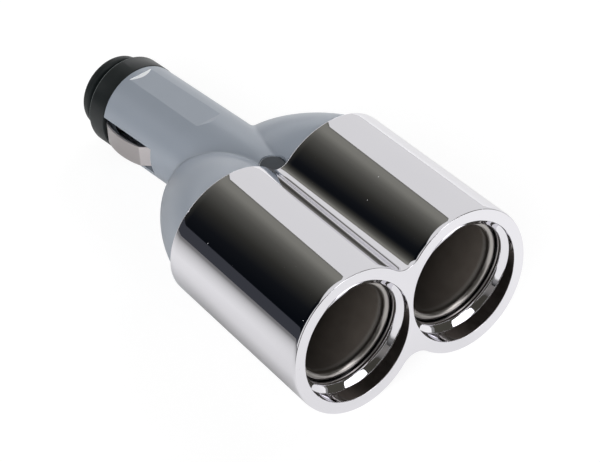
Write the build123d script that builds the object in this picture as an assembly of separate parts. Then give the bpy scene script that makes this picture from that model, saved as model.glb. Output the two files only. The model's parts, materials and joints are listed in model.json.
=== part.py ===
from build123d import *

import os
from math import asin, cos, radians, sin, sqrt, tan

# Twin 12 V socket adapter with a plug, shaped like a twin exhaust tip.
# Lengths are in millimetres and angles in degrees.
# Everything is drawn with the middle of the mouths at y = 0 and the barrel axes at z = 0.
# The end of the file moves every piece so that the adapter lies on z = 0, centred on x and y.

# Barrels
barrel_half_front = 14.2
barrel_half_rear = 13.5
barrel_radius_front = 16.4
barrel_radius_rear = 15.6
valley_radius_front = 4.5
valley_radius_rear = 3.0

# Bright sleeve over the barrels
sleeve_tail = 5.1
sleeve_wall = 1.1
sleeve_edge = 0.9
face_slant = 7.8
face_wall = 2.0
mouth_radius = 13.55
collar_wall = 0.8
collar_depth = 4.0
collar_lip = 1.25
collar_lip_thick = 1.4
cove_radius = 2.2

# Sockets
bore_radius = 10.7
tube_wall = 0.4
rim_bead = 0.9
rim_depth = 4.2
tube_depth = 33.7
tube_step = 0.2
tube_step_inset = 4.6
crimp_radius = 9.7
base_thick = 2.0
base_stem_radius = 3.95
contact_radius = 4.8
contact_thick = 0.6
contact_dome = 1.2
contact_dome_share = 0.6
contact_round = 0.96
rivet_radius = 1.5
rivet_tail = 0.5
base_tail = 3.0

# Inner carrier that holds the sockets
carrier_wall = 1.1
carrier_plate = 2.0
carrier_inset = 2.9

# Plug
plug_radius = 10.4
plug_tip_radius = 10.2
plug_pitch = 6.7
plug_length = 48.3
plug_bore = 7.2
neck_radius = 9.2
neck_length = 3.6
plug_root = 8.0
plug_root_radius = 6.1
plug_dip_end = 10.0
flat_floor = 9.8
flat_ramp = 1.8
flat_start = 23.0
flat_end_back = 1.3

# Rounded shoulders between the barrels and the plug
shoulder_length = 23.8
shoulder_power = 1.77
shoulder_lean_in = 0.25
shoulder_lean_down = 0.18
shoulder_wall = 2.2
crease_radius = 1.2

# Side contacts and their slots
leaf_thick = 0.45
leaf_bend = 22
leaf_half_width = 2.45
leaf_below = 0.5
tongue_half_width = 2.0
tongue_out = 8.55
tongue_end_past = 2.1
tongue_start_past = 0.4
leaf_rise_back = 1.4
leaf_rise_out = 10.25
leaf_peak_back = 9.15
leaf_peak_out = 11.35
leaf_drop_back = 13.35
leaf_drop_out = 10.6
leaf_tab_back = 15.25
leaf_tab_out = 8.85
slot_half_width = 3.2
slot_back = 16.9
notch_half_width = 2.2
notch_floor = 7.75

# Nose cap
ring_radius = 10.3
ring_length = 5.2
groove_radius = 7.2
groove_length = 2.6
disc_radius = 8.5
disc_length = 2.4
cap_edge = 0.3
disc_edge = 0.8
cap_bore = 5.0
cap_bore_front = 54.6
cap_hole = 3.6

# Tip contact, fuse and spring
tip_radius = 3.45
tip_flange = 4.6
tip_flange_thick = 1.4
tip_out = 3.5
tip_round = 2.4
fuse_radius = 3.0
fuse_cap_radius = 3.2
fuse_cap_length = 6.0
fuse_length = 30.0
fuse_bore = 2.2
fuse_wire_radius = 0.25
spring_radius = 2.4
spring_wire = 0.35
spring_length = 10.0
spring_turns = 5

# Lamp
lens_radius = 2.9
lens_back = 2.13
lens_top = 9.2
lens_round = 0.3
lens_flange = 3.7
lens_flange_thick = 1.0
lens_flange_top = 7.3
led_radius = 1.5
led_flange = 1.85
led_height = 4.6
led_flange_thick = 0.8
led_round = 1.35
led_leg = 0.3
led_leg_half = 0.64
board_width = 11.0
board_depth = 6.6
board_thick = 1.0
board_top = -2.0
post_radius = 1.3
post_half = 4.3
post_length = 8.0
resistor_radius = 0.9
resistor_length = 3.4

# Conductors
strip_thick = 0.6
strip_height = 6.0
tongue_width = 4.0
strip_tongue_z = -5.4
strip_lap = 0.5
seat_half_width = 2.8
seat_top = 3.2
wire_radius = 0.75
wire_pad_radius = 10.2
wire_pad_angle = 219.5
wire_room_x = 7.0
wire_room_back = 2.0
wire_room_z = -5.0
wire_entry_x = 6.0
wire_entry_up = -2.6
wire_entry_s = 9.0
wire_track = 5.4
wire_track_start = 18.0
wire_track_back = 8.3
wire_joint_x = 7.3
wire_joint_back = 1.7

# Screws and bosses
screw_x = 11.0
screw_back = 8.0
screw_radius = 1.2
screw_head_radius = 2.3
screw_head_height = 1.6
screw_length = 14.0
screw_seat = -8.6
screw_hole_top = 6.5
screw_round = 0.8
boss_radius = 3.1

# Clearances
slide_gap = 0.1
close_gap = 0.15
hole_gap = 0.05

# How far cutting tools and rough blanks run past what they cut
overrun = 1.0
outside = 20.0

# Derived sizes
rim_radius = bore_radius + rim_bead
tube_outer = bore_radius + tube_wall
seat_radius = bore_radius - tube_step
tube_front = rim_depth + rim_bead
tube_back = rim_depth + tube_depth
lip_radius = mouth_radius - collar_lip
cove_end = collar_depth - collar_lip_thick
sleeve_length = tube_back + sleeve_tail
strip_y = tube_back + base_tail
carrier_front = rim_depth + 2 * rim_bead
carrier_end = tube_back - carrier_inset
shoulder_radius = barrel_radius_rear - sleeve_wall - slide_gap
flat_end = plug_length - flat_end_back
tongue_end = plug_length + tongue_end_past
tongue_start = plug_length + tongue_start_past
leaf_rise = plug_length - leaf_rise_back
leaf_peak = plug_length - leaf_peak_back
leaf_drop = plug_length - leaf_drop_back
leaf_tab_end = plug_length - leaf_tab_back
slot_start = plug_length - slot_back
wire_track_end = plug_length - wire_track_back
wire_joint_s = plug_length - wire_joint_back
ring_front = plug_length + ring_length
cap_front = ring_front + groove_length + disc_length
tip_seat = cap_bore_front - tip_flange_thick
seat_s = tip_seat - fuse_length - spring_length - strip_thick
lens_y = sleeve_length + lens_back
screw_y = sleeve_length + screw_back
face_run = tan(radians(face_slant))
blank_front = -2 * barrel_radius_front * face_run
lean = radians(plug_pitch)
wire_pad_turn = radians(wire_pad_angle)

# Frames: the plug frame has z along the plug to its tip and y downwards
plug_frame = Plane(
    origin=(0, sleeve_length, 0),
    x_dir=(1, 0, 0),
    z_dir=(0, cos(lean), -sin(lean)),
).location
face_plane = Plane(
    origin=(0, 0, 0),
    x_dir=(1, 0, 0),
    z_dir=(0, -cos(radians(face_slant)), sin(radians(face_slant))),
)
upright = (Align.CENTER, Align.CENTER, Align.MIN)


def along_y(x, y, z=0.0):
    """Frame whose z axis runs along +y from a point."""
    return Plane(origin=(x, y, z), x_dir=(1, 0, 0), z_dir=(0, 1, 0)).location


def rod(radius, start, end):
    """Cylinder on the z axis between two heights."""
    return Pos(0, 0, start) * Cylinder(radius, end - start, align=upright)


def pipe(outer, inner, start, end):
    """Tube on the z axis between two heights."""
    return rod(outer, start, end) - rod(inner, start - overrun, end + overrun)


def block(x0, x1, y0, y1, z0, z1):
    """Box between opposite corners."""
    corner = (Align.MIN, Align.MIN, Align.MIN)
    return Pos(x0, y0, z0) * Box(x1 - x0, y1 - y0, z1 - z0, align=corner)


def barrel_radius(y):
    """Outer radius of a barrel at a distance behind the mouths."""
    return barrel_radius_front + (barrel_radius_rear - barrel_radius_front) * y / sleeve_length


def barrel_half(y):
    """Half the spacing of the barrels at a distance behind the mouths."""
    return barrel_half_front + (barrel_half_rear - barrel_half_front) * y / sleeve_length


def valley_radius(y):
    """Radius of the valley between the barrels at a distance behind the mouths."""
    return valley_radius_front + (valley_radius_rear - valley_radius_front) * y / sleeve_length


def twin_face(y, inset):
    """Outline of the two barrels joined by rounded valleys, set in from their outer skin."""
    radius = barrel_radius(y)
    half = barrel_half(y)
    valley = valley_radius(y)
    reach = radius + valley
    valley_z = sqrt(reach**2 - half**2)
    share = (valley + inset) / reach
    join_x = half * share
    join_z = valley_z * (1 - share)
    side_x = half + radius - inset
    waist_z = valley_z - valley - inset
    right = ThreePointArc((join_x, join_z), (side_x, 0), (join_x, -join_z))
    below = ThreePointArc((join_x, -join_z), (0, -waist_z), (-join_x, -join_z))
    left = ThreePointArc((-join_x, -join_z), (-side_x, 0), (-join_x, join_z))
    above = ThreePointArc((-join_x, join_z), (0, waist_z), (join_x, join_z))
    plane = Plane(origin=(0, y, 0), x_dir=(1, 0, 0), z_dir=(0, -1, 0))
    return plane * make_face(right + below + left + above)


def twin_solid(start, end, inset):
    """Merged barrels between two distances behind the mouths."""
    return loft([twin_face(start, inset), twin_face(end, inset)], ruled=True)


def behind_face(solid, depth):
    """Keep what lies behind the slanted face, moved back by a depth."""
    return split(solid, bisect_by=face_plane.offset(-depth), keep=Keep.BOTTOM)


def mouth_cut():
    """Space in a mouth: straight wall, cove that turns in, then a lip in front of the socket."""
    cove_centre = mouth_radius - cove_radius
    cove_run = sqrt(cove_radius**2 - (lip_radius - cove_centre) ** 2)
    cove_start = cove_end - cove_run
    half_turn = asin(cove_run / cove_radius) / 2
    middle = (
        cove_centre + cove_radius * cos(half_turn),
        cove_start + cove_radius * sin(half_turn),
    )
    profile = Polyline(
        (lip_radius, cove_end),
        (lip_radius, collar_depth + overrun),
        (0, collar_depth + overrun),
        (0, blank_front),
        (mouth_radius, blank_front),
        (mouth_radius, cove_start),
    ) + ThreePointArc((mouth_radius, cove_start), middle, (lip_radius, cove_end))
    return revolve(Plane.XZ * make_face(profile), Axis.Z)


def plug_barrel():
    """Tapered plug barrel on the z axis, which dips at its root between the shoulders."""
    dip_radius = plug_radius + (plug_tip_radius - plug_radius) * plug_dip_end / plug_length
    to_root = (plug_radius - plug_tip_radius, -plug_length)
    profile = Polyline(
        (plug_root_radius, -plug_root),
        (0, -plug_root),
        (0, plug_length),
        (plug_tip_radius, plug_length),
        (dip_radius, plug_dip_end),
    ) + TangentArc((dip_radius, plug_dip_end), (plug_root_radius, -plug_root), tangent=to_root)
    return revolve(Plane.XZ * make_face(profile), Axis.Z)


def shoulder(side, inset):
    """Rounded end of a barrel that leans in and down towards the plug."""
    sections = []
    for step in (0, 14, 28, 42, 56, 68, 78, 84):
        grow = sin(radians(step)) ** (2 / shoulder_power)
        shrink = cos(radians(step)) ** (2 / shoulder_power)
        back = (shoulder_length - inset) * grow
        centre = (
            side * (barrel_half_rear - shoulder_lean_in * back),
            sleeve_length + back,
            -shoulder_lean_down * back,
        )
        plane = Plane(origin=centre, x_dir=(-side, 0, 0), z_dir=(0, -1, 0))
        sections.append(plane * Circle((shoulder_radius - inset) * shrink))
    return loft(sections)


def leaf_band():
    """Bowed side contact for +x in the plug frame, with a narrow tongue and a turned-in tab."""
    step = leaf_thick * tan(radians(leaf_bend))
    outer = (
        Polyline((tongue_end, tongue_out), (tongue_start, tongue_out), (leaf_rise, leaf_rise_out))
        + ThreePointArc(
            (leaf_rise, leaf_rise_out),
            (leaf_peak, leaf_peak_out),
            (leaf_drop, leaf_drop_out),
        )
        + Line((leaf_drop, leaf_drop_out), (leaf_tab_end, leaf_tab_out))
    )
    inner = (
        Polyline(
            (tongue_end, tongue_out - leaf_thick),
            (tongue_start + step, tongue_out - leaf_thick),
            (leaf_rise + step, leaf_rise_out - leaf_thick),
        )
        + ThreePointArc(
            (leaf_rise + step, leaf_rise_out - leaf_thick),
            (leaf_peak, leaf_peak_out - leaf_thick),
            (leaf_drop + step, leaf_drop_out - leaf_thick),
        )
        + Line(
            (leaf_drop + step, leaf_drop_out - leaf_thick),
            (leaf_tab_end + 2 * step, leaf_tab_out - step),
        )
    )
    ends = Line((tongue_end, tongue_out), (tongue_end, tongue_out - leaf_thick)) + Line(
        (leaf_tab_end, leaf_tab_out), (leaf_tab_end + 2 * step, leaf_tab_out - step)
    )
    face = make_face(outer + inner + ends)
    sheet = Plane(origin=(0, 0, 0), x_dir=(0, 0, 1), z_dir=(0, 1, 0)) * face
    band = extrude(sheet, leaf_half_width, both=True)
    trim_start = plug_length - leaf_thick - close_gap
    trim = block(
        0,
        outside,
        tongue_half_width,
        leaf_half_width + overrun,
        trim_start,
        tongue_end + overrun,
    )
    return Pos(0, leaf_below, 0) * (band - trim - mirror(trim, about=Plane.XZ))


def is_crease(edge):
    """True for the edges where a shoulder meets the plug barrel."""
    behind_sleeve = edge.position_at(0.5).Y > sleeve_length + overrun
    return edge.geom_type == GeomType.BSPLINE and behind_sleeve


def wire(points):
    """Round insulated wire through a row of points."""
    path = Spline(*points)
    start = Plane(origin=path @ 0, z_dir=path % 0)
    return sweep(start * Circle(wire_radius), path=path)


def in_plug(x, up, s):
    """Point given across, above and along the plug's axis."""
    return (plug_frame * Pos(x, -up, s)).position


def both_sides(solid):
    """A piece drawn on the +x side and its mirror image on the -x side."""
    return mirror(solid, about=Plane.YZ), solid


pieces = {}

# Bright sleeve: flared twin barrels with a slanted face and a turned-in collar in each mouth
sleeve = behind_face(twin_solid(blank_front, sleeve_length, 0), 0)
front_edges = sleeve.faces().sort_by(Axis.Y)[0].edges()
sleeve = fillet(front_edges, sleeve_edge)
hollow = twin_solid(blank_front, sleeve_length + overrun, sleeve_wall)
sleeve -= behind_face(hollow, face_wall)
for side in (-1, 1):
    collar_end = rod(mouth_radius + collar_wall, blank_front, collar_depth)
    sleeve += behind_face(along_y(side * barrel_half_front, 0) * collar_end, sleeve_edge)
for side in (-1, 1):
    sleeve -= along_y(side * barrel_half_front, 0) * mouth_cut()
pieces["chrome_sleeve"] = sleeve

# Sockets: plated tube with a rolled rim, insulating base and centre contact
step_y = tube_back - tube_step_inset
tube = pipe(tube_outer, bore_radius, tube_front, step_y)
tube += pipe(tube_outer, seat_radius, step_y - tube_wall, step_y)
tube += pipe(seat_radius + tube_wall, seat_radius, step_y, tube_back)
tube += pipe(seat_radius + tube_wall, crimp_radius, tube_back - tube_wall, tube_back)
tube += Pos(0, 0, tube_front) * Torus(rim_radius, rim_bead)
base = rod(seat_radius - hole_gap, tube_back - tube_wall - base_thick, tube_back - tube_wall)
base += rod(base_stem_radius, tube_back - tube_wall, strip_y)
base -= rod(rivet_radius + hole_gap, 0, strip_y + overrun)
contact_back = tube_back - tube_wall - base_thick
contact = rod(contact_radius, contact_back - contact_thick, contact_back)
dome_front = contact_back - contact_thick - contact_dome
contact += rod(contact_radius * contact_dome_share, dome_front, contact_back)
contact = fillet(contact.edges().sort_by(Axis.Z)[0], contact_round)
contact += rod(rivet_radius, contact_back, strip_y + strip_thick + rivet_tail)
for side, name in ((-1, "left"), (1, "right")):
    seat = along_y(side * barrel_half_front, 0)
    pieces["socket_tube_" + name] = seat * tube
    pieces["socket_base_" + name] = seat * base
    pieces["centre_contact_" + name] = seat * contact

# Carrier: front and rear plates joined by two guide tubes round the sockets
front_size = carrier_front + carrier_plate
front_plate = extrude(twin_face(front_size, sleeve_wall + close_gap), carrier_plate)
rear_plate = extrude(twin_face(carrier_end, sleeve_wall + close_gap), carrier_plate)
carrier = front_plate + rear_plate
for side in (-1, 1):
    guide = rod(tube_outer + hole_gap + carrier_wall, carrier_front, carrier_end)
    carrier += along_y(side * barrel_half_front, 0) * guide
for side in (-1, 1):
    hole = rod(tube_outer + hole_gap, 0, carrier_end + overrun)
    carrier -= along_y(side * barrel_half_front, 0) * hole
pieces["socket_carrier"] = carrier

# Shell: spigot inside the sleeve, two leaning shoulders and the plug barrel
rear_plane = Plane(origin=(0, sleeve_length, 0), x_dir=(1, 0, 0), z_dir=(0, 1, 0))
plug_rod = split(plug_frame * plug_barrel(), bisect_by=rear_plane, keep=Keep.TOP)
skin = plug_rod + shoulder(-1, 0) + shoulder(1, 0)
skin = fillet(skin.edges().filter_by(is_crease), crease_radius)
spigot_inset = sleeve_wall + slide_gap
spigot_length = sleeve_length - carrier_end
skin += extrude(twin_face(sleeve_length, spigot_inset), spigot_length)
skin += plug_frame * rod(neck_radius, plug_length, plug_length + neck_length)

# Hollow inside: sockets' ends, shoulders and the plug's bore
room_inset = spigot_inset + shoulder_wall
room = extrude(twin_face(sleeve_length, room_inset), spigot_length + overrun)
room += shoulder(-1, shoulder_wall) + shoulder(1, shoulder_wall)
room += plug_frame * rod(plug_bore, -plug_root / 2, plug_length + neck_length + overrun)
shell = skin - room

# Screw bosses and lamp posts stand across the hollow
boss = rod(boss_radius, -outside, outside)
post_top = board_top - board_thick
post = rod(post_radius, post_top - post_length, post_top)
for side in (-1, 1):
    shell += (Pos(side * screw_x, screw_y, 0) * boss) & skin
    shell += (Pos(side * post_half, lens_y, 0) * post) & skin

# Cuts: flat on top, contact slots, notches in the neck, lamp hole and screw holes
above_flat = plug_radius + overrun
flat = Polyline(
    (flat_start - flat_ramp, plug_radius),
    (flat_start, flat_floor),
    (flat_end, flat_floor),
    (flat_end, above_flat),
    (flat_start - flat_ramp, above_flat),
    close=True,
)
flat_plane = Plane(origin=(0, 0, 0), x_dir=(0, 0, 1), z_dir=(1, 0, 0))
shell -= plug_frame * extrude(flat_plane * make_face(flat), plug_radius, both=True)
slot = block(
    plug_bore - overrun,
    plug_radius + overrun,
    -slot_half_width,
    slot_half_width,
    slot_start,
    plug_length,
)
slot += block(
    notch_floor,
    plug_radius + overrun,
    -notch_half_width,
    notch_half_width,
    plug_length - overrun,
    tongue_end + close_gap,
)
for cut in both_sides(Pos(0, leaf_below, 0) * slot):
    shell -= plug_frame * cut
screw_hole = rod(screw_radius + close_gap, -outside, screw_hole_top)
screw_hole += rod(screw_head_radius + close_gap, -outside, screw_seat)
for side in (-1, 1):
    shell -= Pos(side * screw_x, screw_y, 0) * screw_hole
lens_hole = Pos(0, lens_y, 0) * rod(lens_radius + hole_gap, 0, outside)
shell -= split(lens_hole, bisect_by=rear_plane, keep=Keep.TOP)
shell -= Pos(0, lens_y, 0) * rod(lens_flange + hole_gap, 0, lens_flange_top)

# Parting: level through the barrels, then along the plug's axis
reach = plug_length + neck_length + outside
above = Polyline(
    (0, 0),
    (sleeve_length, 0),
    (sleeve_length + reach * cos(lean), -reach * sin(lean)),
    (sleeve_length + reach * cos(lean), outside),
    (0, outside),
    close=True,
)
parting_half = barrel_half_front + barrel_radius_front + overrun
parting = extrude(Plane.YZ * make_face(above), parting_half, both=True)
pieces["upper_shell"] = shell & parting
pieces["lower_shell"] = shell - parting

# Side contacts
contact_left, contact_right = both_sides(leaf_band())
pieces["side_contact_left"] = plug_frame * contact_left
pieces["side_contact_right"] = plug_frame * contact_right

# Nose cap: ring over the neck, groove and front disc
cap_ring = rod(ring_radius, plug_length, ring_front)
cap_ring = fillet(cap_ring.edges().filter_by(GeomType.CIRCLE), cap_edge)
cap_disc = rod(disc_radius, ring_front + groove_length, cap_front)
cap_disc = fillet(cap_disc.edges().filter_by(GeomType.CIRCLE), disc_edge)
cap = cap_ring + cap_disc + rod(groove_radius, plug_length + overrun, cap_front - overrun)
cap_back = plug_length - overrun
cap -= rod(neck_radius + slide_gap, cap_back, plug_length + neck_length + slide_gap)
cap -= rod(cap_bore, cap_back, cap_bore_front)
cap -= rod(cap_hole, cap_back, cap_front + overrun)
pieces["nose_cap"] = plug_frame * cap

# Tip contact, fuse and spring on the plug's axis
pin = rod(tip_radius, tip_seat, cap_front + tip_out)
pin = fillet(pin.edges().sort_by(Axis.Z)[-1], tip_round)
pin += rod(tip_flange, tip_seat, cap_bore_front)
pieces["tip_contact"] = plug_frame * pin
fuse_back = tip_seat - fuse_length
cap_wall = fuse_cap_radius - fuse_radius
fuse_cap = rod(fuse_cap_radius, 0, fuse_cap_length)
fuse_cap -= rod(fuse_radius, cap_wall, fuse_cap_length + overrun)
pieces["fuse_cap_rear"] = plug_frame * Pos(0, 0, fuse_back) * fuse_cap
pieces["fuse_cap_front"] = plug_frame * Pos(0, 0, tip_seat) * Rot(180, 0, 0) * fuse_cap
glass_back = fuse_back + cap_wall
glass_front = tip_seat - cap_wall
pieces["fuse_glass"] = plug_frame * pipe(fuse_radius, fuse_bore, glass_back, glass_front)
pieces["fuse_wire"] = plug_frame * rod(fuse_wire_radius, glass_back, glass_front)
coil_height = spring_length - 2 * spring_wire
coil = Helix(coil_height / spring_turns, coil_height, spring_radius)
coil_start = Plane(origin=coil @ 0, z_dir=coil % 0)
spring = sweep(coil_start * Circle(spring_wire), path=coil)
pieces["fuse_spring"] = plug_frame * Pos(0, 0, fuse_back - spring_length + spring_wire) * spring

# Lamp: lens, light, board and resistor
lens = rod(lens_radius, lens_flange_top - lens_flange_thick, lens_top)
lens = fillet(lens.edges().sort_by(Axis.Z)[-1], lens_round)
lens -= block(
    -lens_radius,
    lens_radius,
    -lens_radius,
    slide_gap - lens_back,
    lens_flange_top,
    lens_top,
)
lens += rod(lens_flange, lens_flange_top - lens_flange_thick, lens_flange_top)
pieces["led_lens"] = Pos(0, lens_y, 0) * lens
led_top = lens_flange_top - lens_flange_thick
led_bottom = led_top - led_height
led = rod(led_radius, led_bottom, led_top)
led = fillet(led.edges().sort_by(Axis.Z)[-1], led_round)
led += rod(led_flange, led_bottom, led_bottom + led_flange_thick)
for side in (-1, 1):
    leg_x = side * led_leg_half
    led += block(leg_x - led_leg, leg_x + led_leg, -led_leg, led_leg, board_top, led_bottom)
pieces["led"] = Pos(0, lens_y, 0) * led
pieces["led_board"] = block(
    -board_width / 2,
    board_width / 2,
    lens_y - board_depth / 2,
    lens_y + board_depth / 2,
    board_top - board_thick,
    board_top,
)
resistor = Pos(0, 0, -resistor_length / 2) * rod(resistor_radius, 0, resistor_length)
resistor_place = along_y(board_width / 4 + led_leg, lens_y, board_top + resistor_radius)
pieces["resistor"] = resistor_place * resistor

# Conductors: one strip from the spring to both centre contacts, one wire to each side contact
strip_half = barrel_half_front + strip_height / 2
strip = block(-strip_half, strip_half, 0, strip_thick, -strip_height / 2, strip_height / 2)
strip += block(-tongue_width / 2, tongue_width / 2, 0, strip_thick, strip_tongue_z, 0)
strip = Pos(0, strip_y, 0) * strip
tongue_back = in_plug(0, strip_tongue_z, seat_s).Y
strip += block(
    -tongue_width / 2,
    tongue_width / 2,
    strip_y,
    tongue_back + strip_thick,
    strip_tongue_z - strip_thick,
    strip_tongue_z,
)
rivet_hole = rod(rivet_radius + hole_gap, strip_y - overrun, strip_y + strip_thick + overrun)
for side in (-1, 1):
    strip -= along_y(side * barrel_half_front, 0) * rivet_hole
seat_down = -strip_tongue_z - strip_lap
strip += plug_frame * block(
    -seat_half_width,
    seat_half_width,
    -seat_top,
    seat_down,
    seat_s,
    seat_s + strip_thick,
)
pieces["positive_strip"] = strip
wire_pad_x = barrel_half_front + wire_pad_radius * cos(wire_pad_turn)
wire_pad_z = wire_pad_radius * sin(wire_pad_turn)
earth_points = [
    (wire_pad_x, tube_back + wire_radius, wire_pad_z),
    (wire_room_x, sleeve_length + wire_room_back, wire_room_z),
    in_plug(wire_entry_x, wire_entry_up, wire_entry_s),
    in_plug(wire_track, 0, wire_track_start),
    in_plug(wire_track, 0, wire_track_end),
    in_plug(wire_joint_x, 0, wire_joint_s),
]
earth_left, earth_right = both_sides(wire(earth_points))
pieces["earth_wire_left"] = earth_left
pieces["earth_wire_right"] = earth_right

# Screws up through the lower shell
screw = rod(screw_head_radius, screw_seat - screw_head_height, screw_seat)
screw = fillet(screw.edges().sort_by(Axis.Z)[0], screw_round)
screw += rod(screw_radius, screw_seat, screw_seat + screw_length)
pieces["screw_left"] = Pos(-screw_x, screw_y, 0) * screw
pieces["screw_right"] = Pos(screw_x, screw_y, 0) * screw

# Move everything to lie on z = 0, centred along y
length_back = sleeve_length + (cap_front + tip_out) * cos(lean)
length_front = barrel_radius_front * face_run
sleeve_low = barrel_radius(sleeve_edge - length_front)
ring_low = (ring_front - cap_edge) * sin(lean) + (ring_radius - cap_edge) * cos(lean) + cap_edge
shift = Pos(0, (length_front - length_back) / 2, max(sleeve_low, ring_low))
os.makedirs("parts", exist_ok=True)
for name, piece in pieces.items():
    export_step(shift * piece, "parts/" + name + ".step")
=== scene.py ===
import json
import math

import bmesh
import bpy
import numpy as np
from bpy.props import FloatProperty, FloatVectorProperty, PointerProperty
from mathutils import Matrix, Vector


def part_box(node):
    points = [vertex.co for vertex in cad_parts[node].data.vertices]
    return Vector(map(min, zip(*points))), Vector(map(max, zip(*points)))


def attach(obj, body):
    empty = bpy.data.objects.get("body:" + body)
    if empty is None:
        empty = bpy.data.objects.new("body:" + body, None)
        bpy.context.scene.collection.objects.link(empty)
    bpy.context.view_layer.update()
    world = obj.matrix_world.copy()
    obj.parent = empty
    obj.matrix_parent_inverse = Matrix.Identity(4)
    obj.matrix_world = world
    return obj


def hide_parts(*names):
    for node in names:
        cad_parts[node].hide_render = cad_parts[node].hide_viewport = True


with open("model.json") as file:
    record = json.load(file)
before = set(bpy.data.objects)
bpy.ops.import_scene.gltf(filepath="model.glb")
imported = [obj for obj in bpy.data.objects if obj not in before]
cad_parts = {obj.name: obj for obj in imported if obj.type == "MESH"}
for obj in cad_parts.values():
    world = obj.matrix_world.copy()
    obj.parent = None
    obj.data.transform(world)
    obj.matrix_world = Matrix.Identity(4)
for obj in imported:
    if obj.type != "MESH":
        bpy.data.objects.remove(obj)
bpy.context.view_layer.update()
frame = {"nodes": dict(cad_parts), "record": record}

bl_info = {
    "name": "Twin Socket Adapter",
    "version": (1, 0, 0),
    "blender": (4, 5, 0),
    "location": "View3D > Sidebar > Adapter",
    "description": "Dresses the packed solids of a twin 12 V socket adapter with surfaces and finishes",
    "category": "Object",
}

# Lengths are in millimetres and turn into metres when a mesh is made.
MM = 0.001
MOUNTS = {mount["name"]: mount for mount in frame["record"]["mounts"]}


def in_mm(point):
    """A place in metres as a numpy row in millimetres."""
    return np.array(point, dtype=float) / MM


def box_mm(node):
    """Lowest and highest corner of a solid in millimetres."""
    low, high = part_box(node)
    return in_mm(low), in_mm(high)


# Directions in the shared frame, and places that the frame gives
ACROSS = (1.0, 0.0, 0.0)
ALONG = (0.0, 1.0, 0.0)
UP = (0.0, 0.0, 1.0)
ORIGIN = np.zeros(3)
SLEEVE_REAR = box_mm("chrome_sleeve")[1][1]
AXIS_HEIGHT = in_mm(MOUNTS["socket_right"]["pos_m"])[2]
PLUG_PLACE = in_mm(MOUNTS["plug"]["pos_m"])
PLUG_AXIS = np.array(MOUNTS["plug"]["axis"], dtype=float)
PLUG_UP = np.cross(ACROSS, PLUG_AXIS)

# Points round each lobe and each valley of the sleeve's outline
LOBE = 180
DIP = 40

# Distances in metres under which points merge and slivers go
MERGE = 2e-7
SLIVER = 1e-8

# Radii of the cards in millimetres, and the point in metres that the lamps face
FAR_CARDS = 1500.0
MIDDLE_CARDS = 1300.0
NEAR_CARDS = 1200.0
LIGHT_AIM = (0.0, 0.0, 0.01)

# Fades of the floor in reflections: a level direction, and where each starts and ends in millimetres
FLOOR_FADES = {
    "ahead": ((0.0, -1.0, 0.0), 38.0, 54.0),
    "mouths": ((0.0, -1.0, 0.0), -5.0, 15.0),
    "left": ((-1.0, 0.0, 0.0), 0.0, 10.0),
    "far_left": ((-1.0, 0.0, 0.0), 18.0, 40.0),
    "front_left": ((-0.5, -0.866, 0.0), 95.0, 125.0),
    "front_right": ((0.88, -0.475, 0.0), 100.0, 130.0),
}


def length(label, about, default):
    """A size in millimetres that a user may change."""
    return FloatProperty(name=label, description=about, default=default, min=0.0, precision=3)


def share(label, about, default, top=1.0):
    """A plain factor that a user may change."""
    return FloatProperty(
        name=label, description=about, default=default, min=0.0, max=top, precision=4, subtype="FACTOR"
    )


def power(label, about, default):
    """A lamp's power that a user may change."""
    return FloatProperty(name=label, description=about, default=default, min=0.0, unit="POWER")


def tint(label, about, default):
    """A linear colour that a user may change."""
    return FloatVectorProperty(
        name=label, description=about, default=default, size=3, subtype="COLOR", min=0.0, max=1.0
    )


class SleeveSettings(bpy.types.PropertyGroup):
    """Sizes and finish of the bright sleeve."""

    radius_front: length("Front radius", "Outer radius of a barrel at the middle of the mouths", 16.4)
    radius_rear: length("Rear radius", "Outer radius of a barrel at the rear edge", 15.6)
    half_front: length("Front spacing", "Half the spacing of the barrels at the mouths", 14.2)
    half_rear: length("Rear spacing", "Half the spacing of the barrels at the rear edge", 13.5)
    valley_front: length("Front valley", "Radius of the valley between the barrels at the mouths", 4.5)
    valley_rear: length("Rear valley", "Radius of the valley between the barrels at the rear edge", 3.0)
    reach: length("Length", "Length behind the middle of the mouths", 43.0)
    slant: FloatProperty(
        name="Face slant", description="Lean of the front face", default=math.radians(7.8), subtype="ANGLE"
    )
    wall: length("Wall", "Thickness of the sheet", 1.1)
    face_wall: length("Face wall", "Thickness behind the front face", 2.0)
    edge: length("Front edge", "How far the front edge draws in", 0.2)
    edge_run: length("Front edge's run", "Length over which the front edge draws in", 1.1)
    rear_edge: length("Rear edge", "Rounding of the rear edge", 0.35)
    mouth: length("Mouth radius", "Radius of each mouth", 13.65)
    mouth_edge: length("Mouth edge", "Rounding of the mouth's edge", 0.06)
    collar_wall: length("Collar wall", "Thickness of the turned-in collar", 0.8)
    collar_depth: length("Collar depth", "Depth of the collar behind the middle of the mouth", 4.0)
    lip: length("Lip", "How far the collar's lip stands in", 1.35)
    lip_thick: length("Lip thickness", "Thickness of the collar's lip", 1.4)
    lip_nick: length("Lip corner", "Size of the lip's broken corners", 0.08)
    cone: length("Cone", "Depth of the cone between the wall and the lip", 0.94)
    cove: length("Cove", "Radius of the cove between the wall and the cone", 0.3)
    colour: tint("Plating", "Colour of the bright plating", (0.80, 0.79, 0.825))
    gloss: share("Roughness", "Roughness of the bright plating", 0.035)


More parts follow.
